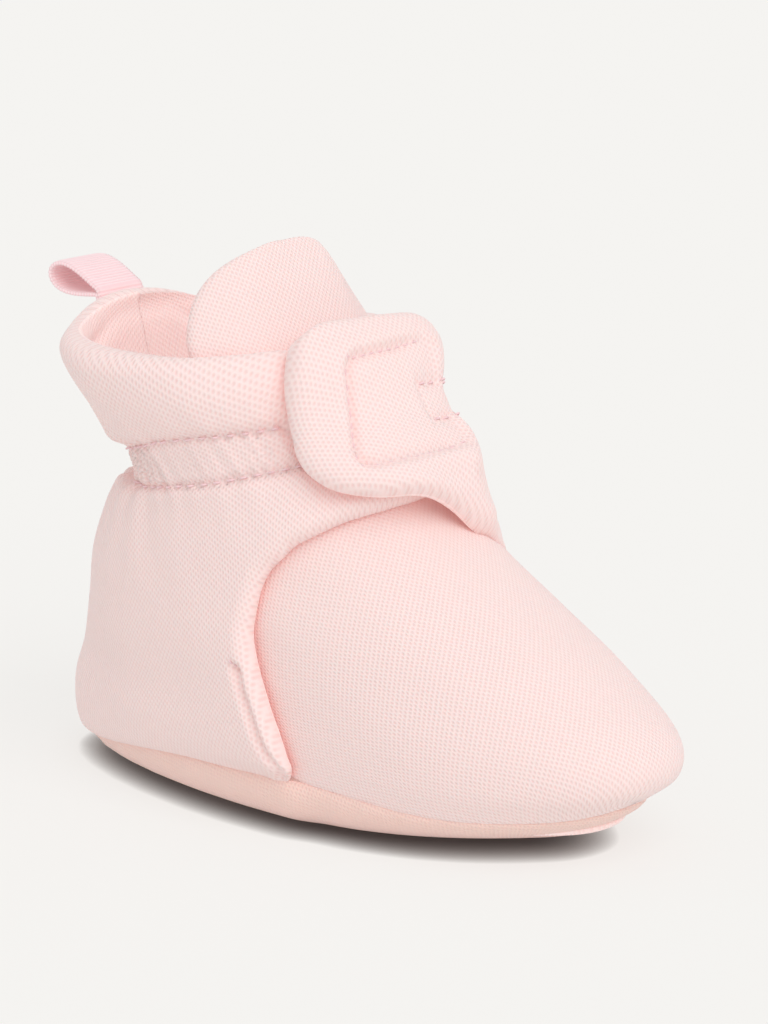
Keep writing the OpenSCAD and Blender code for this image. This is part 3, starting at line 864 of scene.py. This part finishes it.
def far_faces(s, t):
    """Offsets of the far wrap's two faces."""
    tab = smooth((40 - t) / 30)
    heel = smooth((t - 60) / 60)
    fold = gathers(s, t) * 0.5 * smooth((t - 60) / 45)
    low = strap_lift(s, t) - press(s, t) + 0.6 * fold - collar_roll(s) * smooth((t - 50) / 30) - waist(s, t)
    high = low + wrap_body(s, t) + 0.5 * heel * bump(s, 0.3, 0.25) + 0.4 * fold
    high = high + collar_roll(s) * smooth((t - 50) / 30) - collar_slim(s, t)
    low = low + collar_lip(s, t)
    above_low, below_high = over_casing(s, t)
    band = smooth(above_low / 1.5) * smooth(below_high / 1.5) * smooth((t - 1) / 3)
    depth = box_depth(s, t)
    border = 0.9 - 1.3 * smooth((depth + 1.6) / 2.6) + 0.35 * smooth((depth - 1) / 4)
    groove = (1.1 - 0.7 * smooth((t - 4) / 6)) * bump(depth, 0, 0.6)
    high = high + tab * (border - groove) * (1 - band)
    high = high + 1.4 * bump(t, 46, 26) * smooth((s - 0.91) / 0.05)
    high = high - casing(s, t, smooth((t - 3.5) / 1.5)) * (1 - 0.3 * tab)
    high = high - 0.4 * bump(t, 4.2, 1.2) * smooth(above_low) * smooth(below_high)
    return low, high + unevenness(s, t, 17, 0.12)


def make_far_wrap():
    back = lambda u: np.stack([u * rim_height(180), np.full_like(u, 180.0)], -1)
    sheet = Sheet(*patch(trace(FAR_FRONT), back, strap_top, 160, 250))
    low, high = far_faces(sheet.s, sheet.t)
    roll = 2.8 + 4 * smooth((sheet.t - 15) / 20) * smooth((80 - sheet.t) / 20)
    piece = sheet.build("far_wrap", low, high, ("left", "top"), (("right", 0.15, 1.2), ("bottom", 0.8, 4.0)),
                        [KNIT, LINING], side_cloth(sheet.s, sheet.t, 1), roll=roll,
                        hug=0.4 + 0.6 * smooth((sheet.t + 5) / 25), sink=hem_drop(sheet.s, sheet.t),
                        other_cloth=(front_cloth(sheet.s, sheet.t), sheet.t < STRAP_CLOTH_END))
    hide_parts(*layers("far_quarter"), *layers("strap"), "strap_elastic")
    bend_far(piece)


def on_face(faces, s, t, rise):
    """Points that lie rise above a wrap's outer face, and the directions up from it."""
    s, t = np.broadcast_arrays(np.asarray(s, float), np.asarray(t, float))
    return skin(s, t, faces(s, t)[1] + rise), normal(s, t)


def casing_stitches(faces, first, last):
    """The two stitch rows between two angles, which are given in stitches."""
    t = np.linspace(first, last, 8 * (last - first)) * STITCH_DEGREES
    return [stitches("row", *on_face(faces, casing_row(row, t), t, 0.3), last - first, 1.6, 0.17)
            for row in (ROW_LOW, ROW_HIGH)]


def make_casing_stitches():
    near_rows = casing_stitches(near_faces, -32, -8)
    far_rows = casing_stitches(far_faces, 1, 32)
    near_piece = join("near_casing_stitches", *near_rows)
    far_piece = join("far_casing_stitches", *far_rows)
    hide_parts("casing_thread", "flap_casing_thread")
    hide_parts("strap_casing_thread")
    bend_near(near_piece)
    bend_far(far_piece)


# ------------------------------------------------------------
# Sole, insole and grip dots

# The sole's edge, from its seam to its flat underside: [share of the way, offset, share of the seam's height]
SOLE_PROFILE = np.array([
    [0, 0, 1], [0.06, 0.5, 0.98], [0.2, 0.95, 0.8], [0.36, 0.5, 0.5], [0.52, -0.9, 0.22], [0.7, -3.6, 0.06],
    [0.86, -6.8, 0.01], [1, -9, 0],
])
TOE_PROFILE = np.array([
    [0, 0, 1], [0.06, 0.3, 0.97], [0.2, 0.2, 0.87], [0.36, -1.0, 0.72], [0.52, -3.4, 0.52], [0.7, -7.5, 0.27],
    [0.86, -12, 0.08], [1, -16, 0],
])


# How far the sole's edge reaches up behind the cloth that is sewn to it
SOLE_TUCK = 0.45


def seam_ring(t, off):
    return skin(np.zeros_like(t), t, np.full_like(t, off))


def seam_offset(t):
    """Offset of the sole's seam, which steps out where the wrap is sewn in, and lies under its hem."""
    turn = np.abs(t)
    step = 1.25 * smooth((turn - 79) / 7) - 0.7 * smooth((turn - 95) / 45)
    return -0.75 + 0.3 * smooth((turn - 20) / 50) + step


def sole_point(k, t, radius=1.0):
    """A point of the sole's outside: k from the seam (0) to the flat underside (1), drawn in by radius."""
    toe = smooth((np.cos(np.radians(t)) - 0.1) / 0.8)[..., None]
    profile = curve(SOLE_PROFILE, k) * (1 - toe) + curve(TOE_PROFILE, k) * toe
    turn = np.radians(t)
    puckers = np.sin(31 * turn + 5 * k) + 0.7 * np.sin(47 * turn - 4 * k + 1) + 0.5 * np.sin(73 * turn + 2)
    profile[..., 0] += 0.13 * puckers * bump(k, 0.25, 0.22) * (1 - 0.6 * toe[..., 0])
    ring = base(np.zeros_like(t), t)
    flat = unit(normal(np.zeros_like(t), t) * np.array([1, 1, 0]))
    point = ring + flat * (profile[..., :1] + seam_offset(t)[..., None])
    point[..., 2] = FLOOR + (ring[..., 2] + SOLE_TUCK - FLOOR) * profile[..., 1]
    point[..., :2] *= radius
    return point


def make_sole():
    sectors = 240
    t = np.linspace(-180, 180, sectors, endpoint=False)
    around = along(seam_ring(t, 0), 0)
    rings = [sole_point(np.full_like(t, k), t) for k in np.linspace(0, 1, 34)]
    down = along(np.array(rings), 0)
    cloth = [np.stack([0.8 * around - 0.6 * d, 0.6 * around + 0.8 * d], -1) for d in down]
    for r in np.linspace(1, 0.02, 26)[1:]:
        rings.append(sole_point(np.ones_like(t), t, r))
        cloth.append(rings[-1][:, :2])
    below = np.array(rings)[::-1]
    quilt = 0.12 * np.sin(below[..., 0] / 9) * np.sin(below[..., 1] / 7)
    below[..., 2] += quilt * smooth((below[..., 2] - FLOOR) / 1.5)
    inner = []
    for r in np.linspace(1, 0.02, 12):
        ring = seam_ring(t, -0.6)
        ring[:, 2] = FLOOR + (ring[:, 2] - 0.6 - FLOOR) * smooth((r - 0.75) / 0.25) + 2.2
        ring[:, :2] *= r
        inner.append(ring)
        cloth.insert(0, ring[:, :2])
    grid = np.concatenate([below, np.array(inner)])
    points = np.concatenate([grid.reshape(-1, 3), [[0, 0, grid[0, 0, 2]], [0, 0, grid[-1, 0, 2]]]])
    uv = np.concatenate([np.array(cloth)[::-1].reshape(-1, 2), np.zeros((2, 2))])
    piece = make_piece("sole", points, dome_faces(len(grid), sectors), uv, [SOLE_KNIT], weld=False)
    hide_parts("sole_shell", "sole_padding")
    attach(piece, "foot")


def make_insole():
    """The footbed: a crowned pad with a turned edge."""
    bottom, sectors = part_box("insole")[0][2] / MM, 160
    t = np.linspace(-180, 180, sectors, endpoint=False)
    edge = seam_ring(t, -5.0)[:, :2]
    rings = []
    for k in np.linspace(-1, 1, 15):
        inset = 1 - 0.02 * (1 - math.sqrt(1 - k * k))
        rings.append(np.column_stack([edge * inset, np.full(sectors, bottom + 0.7 + 0.7 * k)]))
    for r in np.linspace(0.98, 0.03, 22)[1:]:
        rise = 0.9 * (1 - r ** 2) + 0.1 * math.cos(r * 20)
        rings.append(np.column_stack([edge * r, np.full(sectors, bottom + 1.4 + rise)]))
    grid = np.array(rings)
    points = np.concatenate([grid.reshape(-1, 3), [[0, 0, bottom], [0, 0, grid[-1, 0, 2]]]])
    piece = make_piece("footbed", points, dome_faces(len(grid), sectors), points[:, :2], [LINING], weld=False)
    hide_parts("insole")
    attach(piece, "foot")


DOT_PITCH, DOT_RADIUS, DOT_HEIGHT, DOT_SUNK = 6.0, 0.9, FLOOR + 0.1, 0.15
# How much of the flat underside the dots cover
DOT_REACH = 0.76


def make_grip_dots():
    """Domed silicone dots over the flat of the underside, in staggered rows."""
    angle = math.pi / 2 * np.arange(5) / 4.5
    down = np.array([0.0, 0.0, -1.0])
    side = unit(np.cross(down, np.array([0.0, 1.0, 0.1])))
    other = np.cross(down, side)
    heights = DOT_HEIGHT * np.sin(angle) - DOT_SUNK
    dots = Bars(12)
    for i in range(-6, 7):
        for j in range(-11, 12):
            x, y = (j + (0.5 if i % 2 else 0)) * DOT_PITCH, i * DOT_PITCH * math.sqrt(3) / 2
            t = np.array([math.degrees(math.atan2(y / WIDTH[0, 1], x / FRONT[0, 1]))])
            flat = sole_point(np.ones(1), t)[0]
            if math.hypot(x, y) <= DOT_REACH * math.hypot(flat[0], flat[1]):
                spine = np.array([x, y, FLOOR]) + down * heights[:, None]
                dots.add(spine, [side] * 5, [other] * 5, DOT_RADIUS * np.cos(angle))
    piece = dots.piece("grip_dots_soft", SILICONE, "grip_silicone")
    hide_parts("grip_dots")
    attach(piece, "foot")


# ------------------------------------------------------------
# Tapes under the strap, and the small stitches

# The tapes' place, [s] and [angle], and their thicknesses
TAPE_S, TAPE_T = (0.770, 0.935), (-24, 9)
LOOP_BASE, LOOP_DEEP = FLAP_GAP + WRAP_THICK - 0.05, 0.75
HOOK_HIGH, HOOK_DEEP = TAB_LIFT + 0.15, 0.35


def tape(name, size, low, high, material, roll):
    """A tape with size points each way, between two offsets. high may be a grid."""
    s = np.linspace(*TAPE_S, size)[:, None] + np.zeros((size, size))
    t = np.linspace(*TAPE_T, size)[None, :] + np.zeros((size, size))
    edges = ("left", "right", "top", "bottom")
    piece = Sheet(s, t).build(name, low + 0 * s, high + 0 * s, edges, (), [material], front_cloth(s, t), roll)
    return piece


def make_tapes():
    fuzz = np.random.default_rng(5).normal(0, 0.07, (60, 60))
    pile = tape("loop_tape_pile", 60, LOOP_BASE, LOOP_BASE + LOOP_DEEP + fuzz, LOOPS, 0.6)
    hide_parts("loop_tape")
    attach(pile, "side_flap")
    backing = tape("hook_tape_backing", 24, HOOK_HIGH - HOOK_DEEP, HOOK_HIGH, HOOKS, 0.4)
    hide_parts("hook_tape")
    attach(backing, "strap")


def make_hooks():
    """Tiny mushroom hooks in rows, standing down from the backing."""
    heights = np.array([0.0, 0.25, 0.3, 0.38, 0.42])
    radii = np.array([0.16, 0.12, 0.24, 0.22, 0.05])
    hooks = Bars(6)
    for s in np.linspace(TAPE_S[0] + 0.012, TAPE_S[1] - 0.012, 11):
        for t in np.linspace(TAPE_T[0] + 2.2, TAPE_T[1] - 2.2, 12):
            up = normal(s, t)
            side = unit(np.cross(up, np.array([0.0, 0.0, 1.0])))
            spine = skin(s, t, HOOK_HIGH - HOOK_DEEP + 0.02) - up * heights[:, None]
            hooks.add(spine, [side] * 5, [np.cross(up, side)] * 5, radii, flip=True)
    piece = hooks.piece("hook_rows", HOOKS, "hook_fastener")
    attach(piece, "strap")


def path_on_sheet(corners, places):
    """Points on straight lines between (s, angle) corners. Place 0 is the first corner and 1 the second."""
    return (np.interp(places, np.arange(len(corners)), column) for column in np.array(corners, float).T)


def make_tape_stitches():
    low, high, left, right = TAPE_S[0] + 0.01, TAPE_S[1] - 0.01, TAPE_T[0] + 2, TAPE_T[1] - 2
    places = np.concatenate([np.linspace(side, side + 1, 60) for side in range(4)])
    s, t = path_on_sheet([(low, left), (low, right), (high, right), (high, left), (low, left)], places)
    up = normal(s, t)
    on_loops = stitches("loop_tape_stitches", skin(s, t, LOOP_BASE + LOOP_DEEP + 0.1), up, 28, 1.4, 0.15)
    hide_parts("loop_tape_thread")
    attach(on_loops, "side_flap")
    under = stitches("hook_tape_under_stitches", skin(s, t, HOOK_HIGH - HOOK_DEEP - 0.05), -up, 28, 1.4, 0.15)
    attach(under, "strap")
    left_side = [(s, box_left(s)) for s in (BOX_LOW, BOX_HIGH)]
    box_corners = [(BOX_LOW, BOX_RIGHT - 1), *left_side, (BOX_HIGH, BOX_RIGHT - 4)]
    s, t = path_on_sheet(box_corners, np.linspace(0, 3, 300))
    box = stitches("strap_box_stitches", *on_face(far_faces, s, t, 0.15), 26, 1.3, 0.14)
    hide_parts("hook_tape_thread")
    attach(box, "strap")


def make_tacks():
    """The tack at each side, where the wrap's lower front corner is sewn down."""
    s = np.linspace(TACK_TOP + 0.018, TACK_TOP - 0.004, 12)
    near = on_face(near_faces, s, -92.6, 0.15)
    far = on_face(far_faces, s, 88.0, 0.0)
    piece = join("side_tacks", stitches("tack", *near, 2, 0.9, 0.18), stitches("tack", *far, 2, 0.9, 0.18))
    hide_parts("side_tack_thread")
    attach(piece, "foot")


# ------------------------------------------------------------
# Pull loop

def make_pull_loop():
    """A ribbon laid in a flat teardrop loop, with its two tails sewn in at the rim."""
    root = np.array(JOINTS["pull_loop_swing"]["pos_m"], float) / MM
    low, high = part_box("pull_loop")
    width = (high[1] - low[1]) / MM
    length, height, thick, tilt, tail = 10.6, 3.9, 0.8, math.radians(12), 4.0
    turn = np.linspace(0, 2 * math.pi, 400)
    x = -length * (1 - np.cos(turn)) / 2
    z = height / 2 * np.sin(turn) * np.sin(turn / 2) ** 1.4 / 0.73 + 0.45 * np.cos(turn / 2)
    tails = np.linspace(tail, 0, 50)[:-1]
    x = np.concatenate([tails * 0.55, x, tails[::-1] * 0.55])
    z = np.concatenate([0.45 - tails * 0.75, z, -0.45 - tails[::-1] * 0.75])
    c, n = math.cos(tilt), math.sin(tilt)
    line = np.stack([x * c + z * n, 0 * x, z * c - x * n], -1)
    run = along(line, 0)
    even = np.arange(0, run[-1], 0.09)
    line = resampled(line, run, even)
    ahead = unit(np.gradient(line, axis=0))
    out = np.stack([-ahead[:, 2], 0 * even, ahead[:, 0]], -1)
    rib = np.abs(np.sin(math.pi * even / RIB_PITCH))
    sections = 15
    y = np.linspace(-0.5, 0.5, sections)
    edge = 1 - 0.35 * (np.abs(y * 2) ** 14)
    grids = []
    for face in (1, -1):
        off = (thick / 2 + 0.09 * rib - 0.05)[:, None] * edge[None, :] * face
        points = line[:, None, :] + out[:, None, :] * off[..., None]
        points[..., 1] = y[None, :] * (width - 0.2 + 0.2 * rib[:, None] * np.abs(y * 2)[None, :] ** 20)
        grids.append(points + root)
    rows = len(even)
    count = rows * sections
    uv = np.stack(np.broadcast_arrays(even[:, None], y[None, :] * width), -1).reshape(-1, 2)
    faces = np.concatenate([
        grid_faces(rows, sections, flip=True),
        grid_faces(rows, sections, count),
        rim_faces(rows, sections, count)[:, ::-1],
    ])
    piece = make_piece("pull_loop_ribbon", np.concatenate([g.reshape(-1, 3) for g in grids]), faces.tolist(),
                       np.concatenate([uv, uv]), [RIBBON], weld=False)
    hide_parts("pull_loop")
    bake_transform(piece)


# ------------------------------------------------------------
# Stage

TARGET = (0, 0, 0.038)
CAMERA_AZIMUTH, CAMERA_ELEVATION, CAMERA_DISTANCE = 41, 14, 0.7
FOCAL = 160
CAMERA_SHIFT = (0.0117, 0.0469)
SUN_AZIMUTH, SUN_ELEVATION, SUN_SPREAD = 68, 44, 50
FLOOR_SIZE = 3.0


def direction(azimuth, elevation):
    """The unit vector towards an azimuth and elevation in degrees. Azimuth 0 is the near side, 90 the toe."""
    a, e = math.radians(azimuth), math.radians(elevation)
    return np.array([math.sin(a) * math.cos(e), -math.cos(a) * math.cos(e), math.sin(e)])


def placed(name, data, back, distance):
    """A light or camera at a distance from the target towards back, that faces the target."""
    thing = bpy.data.objects.new(name, data)
    bpy.context.scene.collection.objects.link(thing)
    thing.location = tuple(np.array(TARGET) + back * distance)
    thing.rotation_mode = "QUATERNION"
    thing.rotation_quaternion = (-Vector(tuple(back))).to_track_quat("-Z", "Y")
    return thing


def make_floor():
    """A pale floor that glows evenly, with a painted contact shadow: the glow fades where something stands
    close over it.
    """
    mesh = bpy.data.meshes.new("floor")
    corners = [(x * FLOOR_SIZE, y * FLOOR_SIZE, 0) for x, y in ((-1, -1), (1, -1), (1, 1), (-1, 1))]
    mesh.from_pydata(corners, [], [(0, 1, 2, 3)])
    shader = Shader("floor")
    # Painted contact shadow: ambient occlusion dims the floor's glow close under the bootie
    near = shader.add("AmbientOcclusion", samples=16)
    near.inputs["Distance"].default_value = 4 * MM
    shader.glow(LINEAR["floor_glow"], shader.math("POWER", near.outputs["AO"], 1.8))
    mesh.materials.append(shader.finish(LINEAR["floor"], 0.9, specular=0.0))
    floor = bpy.data.objects.new("floor", mesh)
    bpy.context.scene.collection.objects.link(floor)


def make_world():
    """Soft light from all round, and a backdrop that the camera sees in the floor's colour."""
    world = bpy.data.worlds.new("studio")
    bpy.context.scene.world = world
    world.use_nodes = True
    tree = world.node_tree
    lit = tree.nodes["Background"]
    lit.inputs["Color"].default_value = (1, 0.995, 0.985, 1)
    lit.inputs["Strength"].default_value = 0.77
    seen = tree.nodes.new("ShaderNodeBackground")
    seen.inputs["Color"].default_value = (*LINEAR["backdrop"], 1)
    mix = tree.nodes.new("ShaderNodeMixShader")
    tree.links.new(tree.nodes.new("ShaderNodeLightPath").outputs["Is Camera Ray"], mix.inputs[0])
    tree.links.new(lit.outputs[0], mix.inputs[1])
    tree.links.new(seen.outputs[0], mix.inputs[2])
    tree.links.new(mix.outputs[0], tree.nodes["World Output"].inputs["Surface"])


def make_stage():
    bpy.context.scene.view_settings.view_transform = "Standard"
    make_floor()
    make_world()
    light = bpy.data.lights.new("window", "SUN")
    light.energy, light.angle = 1.0, math.radians(SUN_SPREAD)
    placed("window", light, direction(SUN_AZIMUTH, SUN_ELEVATION), 1.0)
    camera = bpy.data.cameras.new("camera")
    camera.lens = FOCAL
    camera.sensor_width = 36
    camera.shift_x, camera.shift_y = CAMERA_SHIFT
    camera.clip_start = 0.01
    back = direction(CAMERA_AZIMUTH, CAMERA_ELEVATION)
    bpy.context.scene.camera = placed("camera", camera, back, CAMERA_DISTANCE)


make_vamp()
make_near_wrap()
make_far_wrap()
make_casing_stitches()
make_sole()
make_insole()
make_grip_dots()
make_tapes()
make_hooks()
make_tape_stitches()
make_tacks()
make_pull_loop()
make_stage()
